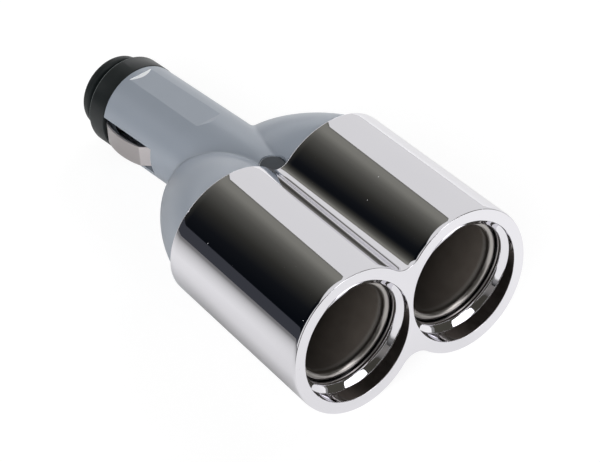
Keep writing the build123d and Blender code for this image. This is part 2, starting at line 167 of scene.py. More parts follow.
class BodySettings(bpy.types.PropertyGroup):
    """Finish of the moulded body."""

    colour: tint("Grey", "Colour of the grey moulding", (0.300, 0.335, 0.388))
    gloss: share("Roughness", "Roughness of the grey moulding", 0.31)
    sheen: share("Sheen", "Specular level of the grey moulding", 0.8)
    grain: length("Grain", "Height of the fine moulded grain", 0.006)
    flat: length("Flat", "Height of the plug's flat above the plug's axis", 9.8)
    flat_half: length("Flat's half width", "Half the width of the flat", 2.9)
    flat_end: length("Flat's end", "Distance of the flat's tip end behind the middle of the nose ring", 3.9)
    flat_margin: length("Flat's margin", "Height to each side of the flat that counts as the flat", 0.1)
    # Painted highlight: the step's length sizes a near-white crescent painted into the base colour at the
    # flat's tip end
    step: length("Step", "Length of the curved step at the flat's tip end", 1.1)
    step_highlight: tint("Polish", "Colour of the polished step", (0.95, 0.96, 0.98))
    black: tint("Black", "Colour of the black mouldings", (0.006, 0.008, 0.0085))
    ring_radius: length("Ring's radius", "Outer radius of the nose ring", 10.3)
    ring_front: length("Ring's front", "Distance of the nose ring's front face ahead of its middle", 2.6)
    disc_rear: length("Disc's rear", "Distance of the nose disc's rear edge ahead of the ring's middle", 5.2)
    # Painted shade: the groove behind the nose ring is drawn as a near-black diffuse that fades in and out
    # over these lengths
    groove_fade: length("Groove's fade", "Length over which the groove turns dark behind the ring", 0.3)
    disc_fade: length("Disc's fade", "Length over which the groove ends at the nose disc", 0.2)
    # Painted highlight: a lighter base colour on the nose ring's front edge, where light catches its
    # rounding
    highlit: tint("Highlit edge", "Colour of the nose ring's front edge", (0.10, 0.115, 0.115))
    highlit_width: length("Highlit width", "Width of the worn edge across the ring's front face", 0.35)
    highlit_length: length("Highlit length", "Length of the worn edge along the ring", 0.3)
    highlit_margin: length("Highlit margin", "How far past the ring's front face the wear may reach", 0.02)
    black_gloss: share("Black roughness", "Roughness of the black mouldings", 0.38)


class MetalSettings(bpy.types.PropertyGroup):
    """Finish of the contacts and sockets."""

    # Painted shade and painted highlight: one nickel, the strip darker for the shade it mirrors and the tab
    # lighter for the light it mirrors
    leaf: tint("Contact", "Colour of the side contacts", (0.56, 0.525, 0.525))
    tab_start: length("Tab start", "Distance of the tabs behind the middle of the nose ring", 15.95)
    tab_fade: length("Tab fade", "Half the length over which a tab takes its colour", 0.15)
    tab: tint("Contact tab", "Colour of the side contacts' turned-in tabs", (0.82, 0.77, 0.775))
    nickel: tint("Nickel", "Colour of the tip and the fuse's caps", (0.66, 0.645, 0.63))
    socket: tint("Socket", "Colour of the socket tubes' rims", (0.42, 0.40, 0.38))
    inside: tint("Socket inside", "Colour inside the socket tubes", (0.105, 0.09, 0.078))
    rim_depth: length("Rim depth", "Depth at which the rim's brightness starts to fade", 0.9)
    dull_depth: length("Dull depth", "Depth from which a tube is dull", 2.7)
    brass: tint("Brass", "Colour of the brass pieces", (0.62, 0.47, 0.22))
    steel: tint("Steel", "Colour of the spring and screws", (0.42, 0.42, 0.43))
    cross_width: length("Cross width", "Width of the cross in a screw's head", 0.6)
    cross_length: length("Cross length", "Length of each bar of that cross", 2.8)


class LampSettings(bpy.types.PropertyGroup):
    """Finish of the lamp, the fuse's glass and the wires."""

    lens: tint("Lens", "Colour of the dark lens", (0.019, 0.027, 0.038))
    # Painted highlight: the arc's colour is light painted into the lens's base colour
    arc: tint("Arc", "Colour of the lit arc on the lens", (0.75, 0.78, 0.82))
    lens_radius: length("Lens radius", "Radius of the lens where it shows", 2.85)
    dish: length("Dish", "Radius inside which the lens stays dark", 2.55)
    epoxy: tint("Light", "Colour of the light under the lens", (0.55, 0.05, 0.04))
    board: tint("Board", "Colour of the light's board", (0.04, 0.16, 0.07))
    resin: tint("Resistor", "Colour of the resistor", (0.55, 0.45, 0.30))
    glass: tint("Fuse glass", "Colour of the fuse's glass", (0.85, 0.90, 0.90))
    cover: tint("Wire cover", "Colour of the wires' cover", (0.02, 0.02, 0.02))


class StageSettings(bpy.types.PropertyGroup):
    """Camera, floor and light."""

    camera: FloatVectorProperty(
        name="Camera",
        description="Place of the camera",
        default=(-0.3969, -0.504001, 0.578104),
        subtype="XYZ",
    )
    aim: FloatVectorProperty(
        name="Aim",
        description="Point in the middle of the picture",
        default=(0.00141, -0.013331, 0.011294),
        subtype="XYZ",
    )
    lens: FloatProperty(
        name="Focal length", description="Focal length of the camera in mm", default=242.1, unit="CAMERA"
    )
    sensor: FloatProperty(
        name="Sensor", description="Width of the camera's sensor in mm", default=36.0, unit="CAMERA"
    )
    floor_half: length("Floor's half width", "Half the width of the floor", 4000.0)
    paint: share("Paint", "Brightness of the floor's own colour", 0.9)
    sky: share("Sky", "Strength of the soft light from all round", 0.17, 10.0)
    room: share("Room", "Brightness of the room in reflections", 0.81, 10.0)
    floor: share("Floor", "Brightness of the floor to the eye", 1.12, 10.0)
    falloff: share("Falloff", "How much the floor darkens far off in reflections", 0.75)
    near: length("Near", "Distance at which the floor starts to darken", 58.0)
    far: length("Far", "Distance at which the floor is darkest", 343.0)
    shadow: share("Shadow", "How much of the object's shadow the floor shows", 0.22)
    mirrored_shadow: share("Mirrored shadow", "How much of that shadow reflections show", 0.52)
    beside: share("Beside", "How much the floor left of the mouths darkens in reflections", 0.5)
    corners: share("Corners", "How much the floor's front corners darken in reflections", 0.75)
    clear_ahead: share("Clear ahead", "How much of the mirrored shadow goes ahead of the mouths", 0.6)
    under: length("Under", "Distance from the middle up to which the mirrored shadow is whole", 24.0)
    under_end: length("Under's end", "Distance from the middle where it is at its least", 45.0)
    left: power("Left", "Power of the lamp on the left", 8.4)
    right: power("Right", "Power of the lamp on the right", 5.1)
    rear: power("Rear", "Power of the low lamp behind", 3.5)
    card: tint("Card", "Colour of the rear card's lit edge", (0.233, 0.231, 0.204))
    strip: tint("Strip", "Colour of the strip below the rear card", (0.048, 0.051, 0.061))
    front_card: tint("Front card", "Colour of the card behind the camera", (0.075, 0.072, 0.060))


class Value:
    """A shader socket whose arithmetic adds Math nodes."""

    def __init__(self, tree, socket):
        self.tree = tree
        self.socket = socket

    def math(self, operation, first, second):
        node = self.tree.nodes.new("ShaderNodeMath")
        node.operation = operation
        for place, item in zip(node.inputs, (first, second)):
            if isinstance(item, Value):
                self.tree.links.new(item.socket, place)
            else:
                place.default_value = item
        return Value(self.tree, node.outputs[0])

    def __add__(self, other):
        return self.math("ADD", self, other)

    def __radd__(self, other):
        return self.math("ADD", other, self)

    def __sub__(self, other):
        return self.math("SUBTRACT", self, other)

    def __rsub__(self, other):
        return self.math("SUBTRACT", other, self)

    def __mul__(self, other):
        return self.math("MULTIPLY", self, other)

    def __rmul__(self, other):
        return self.math("MULTIPLY", other, self)

    def __abs__(self):
        return self.math("ABSOLUTE", self, 0.0)

    def __lt__(self, other):
        return self.math("LESS_THAN", self, other)

    def __gt__(self, other):
        return self.math("GREATER_THAN", self, other)


class Finish:
    """The nodes of a material or a world under construction."""

    def __init__(self, owner):
        self.owner = owner
        owner.use_nodes = True
        self.tree = owner.node_tree
        self.tree.nodes.clear()

    def node(self, kind, settings=None, out=0, **sockets):
        """Adds a node: its settings first, then the values or links of its sockets; gives one output."""
        node = self.tree.nodes.new(kind)
        for key, item in (settings or {}).items():
            if key == "stops":
                ramp = node.color_ramp.elements
                while len(ramp) < len(item):
                    ramp.new(1.0)
                for element, (place, colour) in zip(ramp, item):
                    element.position = place
                    element.color = (*colour, 1.0)
            else:
                setattr(node, key, item)
        for key, item in sockets.items():
            words = key.replace("_", " ")
            place = next(s for s in node.inputs if s.identifier == key or s.name == words)
            if isinstance(item, Value):
                self.tree.links.new(item.socket, place)
            elif place.type == "RGBA" and len(item) == 3:
                place.default_value = (*item, 1.0)
            else:
                place.default_value = item
        return Value(self.tree, node.outputs[out])

    def place(self):
        """Object coordinates in metres."""
        return self.node("ShaderNodeTexCoord", out="Object")

    def along(self, start, axis):
        """Distance in millimetres from a place along a direction."""
        offset = self.node(
            "ShaderNodeVectorMath", {"operation": "SUBTRACT"}, Vector=self.place(), Vector_001=start * MM
        )
        reach = self.node(
            "ShaderNodeVectorMath", {"operation": "DOT_PRODUCT"}, "Value", Vector=offset, Vector_001=axis
        )
        return reach * (1.0 / MM)

    def ramp(self, value, low, high, kind="LINEAR"):
        """Rise from 0 at a low value to 1 at a high one, straight unless another kind is named."""
        settings = {"interpolation_type": kind}
        return self.node("ShaderNodeMapRange", settings, Value=value, From_Min=low, From_Max=high)

    def fade(self, value, low, high):
        """Smooth step from 0 at a low value to 1 at a high one."""
        return self.ramp(value, low, high, "SMOOTHSTEP")

    def ray(self, kind):
        """1 for a ray of one kind and 0 for the rest."""
        return self.node("ShaderNodeLightPath", out=f"Is {kind} Ray")

    def noise(self, size):
        """Soft noise from 0 to 1 whose lumps are about one size in millimetres."""
        return self.node("ShaderNodeTexNoise", Vector=self.place(), Scale=1.0 / (size * MM), Detail=2.0)

    def blend(self, factor, first, second):
        """Mix of two colours."""
        return self.node(
            "ShaderNodeMix",
            {"data_type": "RGBA"},
            out=2,
            Factor_Float=factor,
            A_Color=first,
            B_Color=second,
        )

    def bump(self, height, depth):
        """Normal that a height from 0 to 1 gives at a depth in millimetres."""
        return self.node("ShaderNodeBump", Height=height, Distance=depth * MM, Strength=1.0)

    def surface(self, **sockets):
        """Ends a material with a principled shader."""
        return self.end(self.node("ShaderNodeBsdfPrincipled", **sockets))

    def end(self, shader, kind="ShaderNodeOutputMaterial"):
        """Links a shader to the output and gives back the material or world."""
        self.tree.links.new(shader.socket, self.tree.nodes.new(kind).inputs["Surface"])
        return self.owner


def new_finish(name):
    """A new material's nodes."""
    return Finish(bpy.data.materials.new(name))


def darker(colour, factor):
    """A colour times a factor."""
    return tuple(channel * factor for channel in colour)


def metal(name, colour, gloss, wear=0.12, wander=0.5):
    """Metal with a cloudy colour and a roughness that wanders by a share of itself."""
    finish = new_finish(name)
    tone = finish.blend(finish.noise(size=4.0), darker(colour, 1.0 - wear), colour)
    return finish.surface(
        Base_Color=tone,
        Metallic=1.0,
        Roughness=gloss + wander * gloss * (finish.noise(size=0.25) - 0.5),
    )


def socket_plating(settings):
    """Plated tube: bright rolled rim that fades into a dull brown inside."""
    finish = new_finish("socket plating")
    depth = finish.along(box_mm("socket_tube_right")[0], ALONG)
    inside = finish.fade(depth, settings.rim_depth, settings.dull_depth)
    cloud = finish.noise(size=3.0)
    dull = finish.blend(cloud, darker(settings.inside, 0.8), darker(settings.inside, 1.2))
    return finish.surface(
        Base_Color=finish.blend(inside, settings.socket, dull),
        Metallic=1.0 - 0.8 * inside,
        Roughness=0.3 + 0.3 * inside + 0.04 * (cloud - 0.5),
    )


def leaf_nickel(settings):
    """Satin contact strip whose colour is darkened as painted shade, with a turned-in tab whose lighter
    colour is a painted highlight.
    """
    finish = new_finish("contact nickel")
    behind = finish.along(PLUG_PLACE, -PLUG_AXIS)
    # Painted highlight: the tab takes a lighter colour than the shaded strip
    tab = finish.fade(behind, settings.tab_start - settings.tab_fade, settings.tab_start + settings.tab_fade)
    return finish.surface(
        Base_Color=finish.blend(tab, settings.leaf, settings.tab),
        Metallic=1.0,
        Roughness=0.33 + 0.08 * (finish.noise(size=0.3) - 0.5),
    )


def bright_plating(settings):
    """Mirror plating with a faint haze and a few specks of dust."""
    finish = new_finish("bright plating")
    haze = finish.noise(size=7.0)
    speck_spacing = 3.4 * MM
    speck_size = 0.030
    cells = finish.node(
        "ShaderNodeTexVoronoi",
        {"feature": "F1"},
        out="Distance",
        Vector=finish.place(),
        Scale=1.0 / speck_spacing,
    )
    speck = cells < speck_size
    return finish.surface(
        Base_Color=finish.blend(haze, darker(settings.colour, 0.985), settings.colour),
        Metallic=1.0 - 0.9 * speck,
        Roughness=settings.gloss * (0.8 + 0.4 * haze) + 0.5 * speck,
    )


def grey_moulding(settings):
    """Satin grey plastic with fine moulded grain.

    The flat on the plug ends in a painted highlight: a near-white crescent in the base colour, standing in
    for light caught on the step at its tip end, whose edge bows back by the step's length in the middle.
    """
    finish = new_finish("grey moulding")
    cloud = finish.noise(size=11.0)
    grain = finish.noise(size=0.22)
    behind = finish.along(PLUG_PLACE, -PLUG_AXIS)
    across = finish.along(PLUG_PLACE, ACROSS) * (1.0 / settings.flat_half)
    above = finish.along(PLUG_PLACE, PLUG_UP)
    on_flat = abs(above - settings.flat) < settings.flat_margin
    past_end = behind > settings.flat_end - settings.flat_margin / 2
    # Painted highlight: a near-white crescent at the flat's tip end, standing in for light on the step
    highlight_crescent = behind < settings.flat_end + settings.step * (1.0 - across * across)
    tone = finish.blend(cloud, darker(settings.colour, 0.97), darker(settings.colour, 1.03))
    return finish.surface(
        Base_Color=finish.blend(on_flat * past_end * highlight_crescent, tone, settings.step_highlight),
        Roughness=settings.gloss + 0.05 * (cloud - 0.5),
        Specular_IOR_Level=settings.sheen,
        Normal=finish.bump(grain, settings.grain),
    )


def black_moulding(settings):
    """Black plastic with a fine grain and light scuffs.

    The groove behind the nose disc is painted shade, a dark diffuse in place of its shadow, and the
    front edge of the nose ring carries a painted highlight, a lighter base colour where light catches it.
    """
    finish = new_finish("black moulding")
    cloud = finish.noise(size=3.0)
    grain = finish.noise(size=0.2)
    ahead = finish.along(PLUG_PLACE, PLUG_AXIS)
    across = finish.along(PLUG_PLACE, ACROSS)
    above = finish.along(PLUG_PLACE, PLUG_UP)
    past_ring = finish.fade(ahead, settings.ring_front, settings.ring_front + settings.groove_fade)
    at_disc = finish.fade(ahead, settings.disc_rear - settings.disc_fade, settings.disc_rear)
    # Painted highlight along the nose ring's front edge
    rim = across * across + above * above > (settings.ring_radius - settings.highlit_width) ** 2
    on_edge = ahead > settings.ring_front - settings.highlit_length
    highlit = rim * on_edge * (ahead < settings.ring_front + settings.highlit_margin)
    tone = finish.blend(cloud, settings.black, darker(settings.black, 1.7))
    plastic = finish.node(
        "ShaderNodeBsdfPrincipled",
        Base_Color=finish.blend(highlit, tone, settings.highlit),
        Roughness=settings.black_gloss + 0.12 * (cloud - 0.5),
        Specular_IOR_Level=0.35,
        Normal=finish.bump(grain, depth=0.004),
    )
    # Painted shade: the groove takes this near-black diffuse in place of its shadow
    unlit = finish.node("ShaderNodeBsdfDiffuse", Color=darker(settings.black, 0.3))
    shaded_groove = past_ring * (1.0 - at_disc)
    return finish.end(finish.node("ShaderNodeMixShader", Fac=shaded_groove, Shader=plastic, Shader_001=unlit))


def dyed(name, colour, gloss, spread=0.15, **constants):
    """Plain dyed piece with a cloudy colour and a fine grain."""
    finish = new_finish(name)
    cloud = finish.noise(size=1.5)
    return finish.surface(
        Base_Color=finish.blend(cloud, darker(colour, 1.0 - spread), darker(colour, 1.0 + spread)),
        Roughness=gloss + 0.1 * (cloud - 0.5),
        Normal=finish.bump(finish.noise(size=0.2), depth=0.004),
        **constants,
    )


def lamp_lens(settings):
    """Dark glossy lens with a painted highlight: a near-white arc in the base colour along the rear of its
    edge.
    """
    finish = new_finish("lamp lens")
    middle = sum(box_mm("led_lens")) / 2
    across = finish.along(middle, ACROSS)
    rear = finish.along(middle, ALONG)
    cloud = finish.noise(size=1.5)
    edge = finish.fade(across * across + rear * rear, settings.dish**2, settings.lens_radius**2)
    # Painted highlight: near-white arc along the rear of the lens's edge
    lit = edge * finish.fade(rear, 0.2 * settings.lens_radius, 0.8 * settings.lens_radius)
    tone = finish.blend(cloud, darker(settings.lens, 0.85), darker(settings.lens, 1.15))
    return finish.surface(
        Base_Color=finish.blend(lit, tone, settings.arc),
        Roughness=0.12 + 0.08 * (cloud - 0.5),
        Normal=finish.bump(finish.noise(size=0.2), depth=0.004),
    )


def screw_steel(settings):
    """Dull steel with painted shade: a near-black cross on the face of each screw's head in place of the
    shade in its cross recess.
    """
    finish = new_finish("screw steel")
    low, high = box_mm("screw_right")
    middle = (low + high) / 2
    half_width = settings.cross_width / 2
    half_length = settings.cross_length / 2
    x_off = abs(abs(finish.along(ORIGIN, ACROSS)) - middle[0])
    y_off = abs(finish.along(middle, ALONG))
    face = finish.along(low, UP) < settings.cross_width
    slot = (x_off < half_width) * (y_off < half_length)
    bar = (y_off < half_width) * (x_off < half_length)
    # Painted shade: the cross recess is drawn as near-black, non-metal steel
    cross = face * (slot + bar - slot * bar)
    cloud = finish.noise(size=1.0)
    tone = finish.blend(cloud, darker(settings.steel, 0.88), settings.steel)
    return finish.surface(
        Base_Color=finish.blend(cross, tone, darker(settings.steel, 0.04)),
        Metallic=1.0 - cross,
        Roughness=0.38 + 0.1 * (cloud - 0.5),
    )


def put(mesh_name, points, faces):
    """A new object from vertex rows in millimetres and faces, merged and turned outwards."""
    mesh = bpy.data.meshes.new(mesh_name)
    mesh.from_pydata((points * MM).tolist(), [], faces.tolist())
    work = bmesh.new()
    work.from_mesh(mesh)
    bmesh.ops.remove_doubles(work, verts=work.verts, dist=MERGE)
    bmesh.ops.dissolve_degenerate(work, edges=work.edges, dist=SLIVER)
    bmesh.ops.recalc_face_normals(work, faces=work.faces)
    work.to_mesh(mesh)
    work.free()
    piece = bpy.data.objects.new(mesh_name, mesh)
    bpy.context.scene.collection.objects.link(piece)
    return piece


def smooth(piece, angle):
    """Smooth shading with sharp edges past an angle in degrees."""
    piece.data.shade_smooth()
    piece.data.set_sharp_from_angle(angle=math.radians(angle))


def seat(piece, material, body, slot_name, *nodes):
    """Gives a piece its finish and its body, and hides the solids that it stands for; the slot's name is not
    used.
    """
    piece.data.materials.clear()
    piece.data.materials.append(material)
    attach(piece, body)
    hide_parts(*nodes)


def grid_faces(rows, columns, closed):
    """Quads between neighbouring rows of a grid; a closed grid joins its last column to its first."""
    spans = columns if closed else columns - 1
    row = np.arange(rows - 1)[:, None] * columns
    here = np.arange(spans)[None, :]
    ahead = (here + 1) % columns
    quads = np.stack([row + here, row + ahead, row + columns + ahead, row + columns + here], axis=-1)
    return quads.reshape(-1, 4)


def sheet(points, closed=True):
    """Vertices and quads of one grid of points."""
    rows, columns = points.shape[:2]
    return points.reshape(-1, 3), grid_faces(rows, columns, closed)


def join(sheets):
    """Vertices and faces of several sheets as one."""
    starts = np.cumsum([0] + [len(points) for points, _ in sheets[:-1]])
    points = np.concatenate([points for points, _ in sheets])
    faces = np.concatenate([faces + start for (_, faces), start in zip(sheets, starts)])
    return points, faces


def solid_copy(node, angle=32.0):
    """A merged copy of a solid's triangles with smooth shading."""
    source = frame["nodes"][node]
    mesh = source.data
    places = np.empty(len(mesh.vertices) * 3)
    mesh.vertices.foreach_get("co", places)
    corners = np.empty(len(mesh.loops), dtype=np.int64)
    mesh.loops.foreach_get("vertex_index", corners)
    turn = np.array(source.matrix_world)
    places = places.reshape(-1, 3) @ turn[:3, :3].T + turn[:3, 3]
    piece = put(node + "_skin", places / MM, corners.reshape(-1, 3))
    smooth(piece, angle)
    return piece


def dress(nodes, material, body, slot_name, angle=32.0):
    """Smooth copies of several solids with one finish."""
    for node in nodes:
        seat(solid_copy(node, angle), material, body, slot_name, node)


def quarter(count):
    """Angles of a quarter turn."""
    return np.linspace(0.0, math.pi / 2, count)


def twin_outline(radius, half, valley, inset):
    """Closed outline of two circles joined by two valley arcs, one row for each section.

    Each lobe runs on its circle between the points where the valley circles touch it, and each valley
    runs on a circle of its own that touches both lobes. The inset shrinks lobes and widens valleys.
    """
    radius, half, valley, inset = (item[:, None] for item in (radius, half, valley, inset))
    reach = radius + valley
    height = np.sqrt(reach**2 - half**2)
    touch = np.arctan2(height, half)
    along = np.arange(LOBE)[None, :] / LOBE
    across = np.arange(DIP)[None, :] / DIP
    right = (2 * along - 1) * (math.pi - touch)
    above = -touch - across * (math.pi - 2 * touch)
    left = touch + along * (2 * math.pi - 2 * touch)
    below = math.pi - touch - across * (math.pi - 2 * touch)
    big = radius - inset
    small = valley + inset
    x = np.concatenate(
        [
            half + big * np.cos(right),
            small * np.cos(above),
            big * np.cos(left) - half,
            small * np.cos(below),
        ],
        axis=1,
    )
    z = np.concatenate(
        [
            big * np.sin(right),
            height + small * np.sin(above),
            big * np.sin(left),
            small * np.sin(below) - height,
        ],
        axis=1,
    )
    return x, z


def slanted(depth, z, fade, slant):
    """Place along y of a point: its depth plus the face's lean, which fades out at a depth."""
    return depth + z * math.tan(slant) * np.clip(1.0 - depth / fade, 0.0, 1.0)


def sleeve_skin(s):
    """Outer and inner skin as one grid: drawn-in front edge, flared skin, rear edge and inner skin.

    Each row is the twin outline at one depth and inset; rows follow the section of the sheet.
    """
    bend = quarter(count=15)[::-1]
    turn = quarter(count=5)
    skin = np.linspace(0.0, 1.0, num=30)[1:-1]
    inner = np.linspace(0.0, 1.0, num=6)
    depth = np.concatenate(
        [
            s.edge_run * (1 - np.sin(bend)),
            s.edge_run + skin * (s.reach - s.rear_edge - s.edge_run),
            s.reach - s.rear_edge * (1 - np.sin(turn)),
            s.reach - s.rear_edge * (1 - np.cos(turn)),
            s.reach - s.rear_edge + inner[1:] * (s.face_wall - s.reach + s.rear_edge),
        ]
    )
    inset = np.concatenate(
        [
            s.edge * (1 - np.cos(bend)),
            0 * skin,
            s.rear_edge * (1 - np.cos(turn)),
            s.wall - s.rear_edge * (1 - np.sin(turn)),
            s.wall + 0 * inner[1:],
        ]
    )
    part = depth / s.reach
    radius = s.radius_front + (s.radius_rear - s.radius_front) * part
    half = s.half_front + (s.half_rear - s.half_front) * part
    valley = s.valley_front + (s.valley_rear - s.valley_front) * part
    x, z = twin_outline(radius, half, valley, inset)
    y = slanted(depth[:, None], z, s.reach, s.slant)
    return np.stack([x, y, z], axis=-1)


def mouth_profile(s):
    """Radius and depth along a mouth: rounded edge, wall, cove, cone, lip and back of the collar."""
    turn = quarter(count=9)
    lip_radius = s.mouth - s.lip
    cone_end = s.collar_depth - s.lip_thick
    lean = math.atan2(s.lip, s.cone)
    sweep = np.linspace(0.0, lean, num=7)
    cove_start = cone_end - s.cone - s.cove * math.tan(lean / 2)
    # Shares of the cone's run: the first lies close to the cove, which keeps its shading apart
    ease = np.array([0.02, 0.3, 0.6, 0.9])
    cove_radius = s.mouth - s.cove * (1 - np.cos(sweep))
    cove_depth = cove_start + s.cove * np.sin(sweep)
    back = s.mouth + s.collar_wall
    nick = s.lip_nick
    radius = np.concatenate(
        [
            s.mouth + s.mouth_edge * (1 - np.sin(turn)),
            cove_radius,
            cove_radius[-1] + ease * (lip_radius - cove_radius[-1]),
            [lip_radius - nick, lip_radius - nick, lip_radius, back - nick, back, back],
        ]
    )
    depth = np.concatenate(
        [
            s.mouth_edge * (1 - np.cos(turn)),
            cove_depth,
            cove_depth[-1] + ease * (cone_end - cove_depth[-1]),
            [cone_end + nick, s.collar_depth - nick, s.collar_depth, s.collar_depth],
            [s.collar_depth - nick, s.face_wall],
        ]
    )
    return radius, depth, cove_start


def sleeve_mouth(s, skin, side):
    """Face and collar of one mouth as one grid round the mouth's axis.

    The outer loop is that half of the face's outline closed along the middle line. Each loop further in
    is a circle, reached by the angle of the outer loop's points; the last loop is the inner outline.
    """
    high = LOBE + DIP // 2
    low = 2 * LOBE + DIP + DIP // 2
    size = skin.shape[1]
    span = np.arange(low, size + high + 1) % size if side > 0 else np.arange(high, low + 1)
    bridge = np.linspace(0.0, 1.0, num=26)[1:-1, None]

    def loop(row):
        arc = skin[row][span]
        return np.concatenate([arc, arc[-1] * (1 - bridge) + arc[0] * bridge])

    outer = loop(0)
    inner = loop(-1)
    centre = side * s.half_front
    angle = np.arctan2(outer[:, 2], outer[:, 0] - centre)
    radius, depth, level = mouth_profile(s)
    x = centre + radius[:, None] * np.cos(angle)
    z = radius[:, None] * np.sin(angle)
    y = slanted(depth[:, None], z, level, s.slant)
    y[-1] = slanted(s.face_wall, z[-1], s.reach, s.slant)
    rings = np.stack([x, y, z], axis=-1)
    # Shares of the face's width: rows close to its edges keep the shading between them flat
    steps = np.array([0.0, 0.05, 0.35, 0.65, 0.95])[:, None, None]
    face = outer * (1 - steps) + rings[0] * steps
    return np.concatenate([face, rings, inner[None]])


class ADAPTER_OT_sleeve(bpy.types.Operator):
    """Builds the bright sleeve with its slanted face and turned-in mouths"""

    bl_idname = "adapter.sleeve"
    bl_label = "Bright sleeve"

    def execute(self, context):
        s = context.scene.adapter_sleeve
        skin = sleeve_skin(s)
        mouths = [sleeve_mouth(s, skin, side) for side in (-1, 1)]
        points, faces = join([sheet(grid) for grid in (skin, *mouths)])
        points = points + (0.0, SLEEVE_REAR - s.reach, AXIS_HEIGHT)
        piece = put("bright_sleeve", points, faces)
        smooth(piece, angle=60.0)
        seat(piece, bright_plating(s), "body", "chrome", "chrome_sleeve")
        return {"FINISHED"}


class ADAPTER_OT_shells(bpy.types.Operator):
    """Dresses the two grey shells"""

    bl_idname = "adapter.shells"
    bl_label = "Grey shells"

    def execute(self, context):
        grey = grey_moulding(context.scene.adapter_body)
        dress(("upper_shell", "lower_shell"), grey, "body", "grey_plastic", angle=15.5)
        return {"FINISHED"}


class ADAPTER_OT_sockets(bpy.types.Operator):
    """Dresses the sockets, their bases and contacts, and the carrier"""

    bl_idname = "adapter.sockets"
    bl_label = "Sockets"

    def execute(self, context):
        body = context.scene.adapter_body
        metals = context.scene.adapter_metal
        black = black_moulding(body)
        tube = socket_plating(metals)
        brass = metal("contact brass", metals.brass, gloss=0.22)
        dress(("socket_tube_left", "socket_tube_right"), tube, "body", "nickel")
        dress(("socket_base_left", "socket_base_right", "socket_carrier"), black, "body", "black_plastic")
        dress(("centre_contact_left", "centre_contact_right"), brass, "body", "brass")
        return {"FINISHED"}


class ADAPTER_OT_contacts(bpy.types.Operator):
    """Dresses the two sprung side contacts"""

    bl_idname = "adapter.contacts"
    bl_label = "Side contacts"

    def execute(self, context):
        leaf = leaf_nickel(context.scene.adapter_metal)
        for name in ("left", "right"):
            dress(("side_contact_" + name,), leaf, "contact_" + name, "nickel", angle=20.0)
        return {"FINISHED"}


class ADAPTER_OT_nose(bpy.types.Operator):
    """Dresses the nose cap and the tip contact"""

    bl_idname = "adapter.nose"
    bl_label = "Nose cap and tip"

    def execute(self, context):
        black = black_moulding(context.scene.adapter_body)
        tip = metal("tip nickel", context.scene.adapter_metal.nickel, gloss=0.2)
        dress(("nose_cap",), black, "nose", "black_plastic")
        dress(("tip_contact",), tip, "tip", "nickel")
        return {"FINISHED"}


class ADAPTER_OT_lamp(bpy.types.Operator):
    """Dresses the lens, the light, its board and its resistor"""

    bl_idname = "adapter.lamp"
    bl_label = "Lamp"

    def execute(self, context):
        lamp = context.scene.adapter_lamp
        lens = lamp_lens(lamp)
        epoxy = dyed("light epoxy", lamp.epoxy, gloss=0.15)
        board = dyed("board lacquer", lamp.board, gloss=0.35)
        resin = dyed("resistor lacquer", lamp.resin, gloss=0.4)
        dress(("led_lens",), lens, "body", "lens")
        dress(("led",), epoxy, "body", "led_epoxy")
        dress(("led_board",), board, "body", "board")
        dress(("resistor",), resin, "body", "resistor_body")
        return {"FINISHED"}


class ADAPTER_OT_fuse(bpy.types.Operator):
    """Dresses the glass fuse and its spring"""

    bl_idname = "adapter.fuse"
    bl_label = "Fuse and spring"

    def execute(self, context):
        metals = context.scene.adapter_metal
        clear = context.scene.adapter_lamp.glass
        caps = metal("fuse plating", metals.nickel, gloss=0.18)
        steel = metal("spring steel", metals.steel, gloss=0.38)
        glass = dyed("fuse glass", clear, gloss=0.08, Transmission_Weight=0.9, IOR=1.5)
        dress(("fuse_cap_front", "fuse_cap_rear", "fuse_wire"), caps, "tip", "nickel")
        dress(("fuse_glass",), glass, "tip", "glass")
        dress(("fuse_spring",), steel, "body", "spring_steel")
        return {"FINISHED"}


class ADAPTER_OT_wiring(bpy.types.Operator):
    """Dresses the strip and the wires inside"""

    bl_idname = "adapter.wiring"
    bl_label = "Wiring"

    def execute(self, context):
        brass = metal("strip brass", context.scene.adapter_metal.brass, gloss=0.22)
        cover = dyed("wire cover", context.scene.adapter_lamp.cover, gloss=0.5)
        dress(("positive_strip",), brass, "body", "brass")
        dress(("earth_wire_left", "earth_wire_right"), cover, "body", "wire_insulation")
        return {"FINISHED"}


class ADAPTER_OT_screws(bpy.types.Operator):
    """Dresses the two screws"""

    bl_idname = "adapter.screws"
    bl_label = "Screws"

    def execute(self, context):
        steel = screw_steel(context.scene.adapter_metal)
        dress(("screw_left", "screw_right"), steel, "body", "screw_steel")
        return {"FINISHED"}


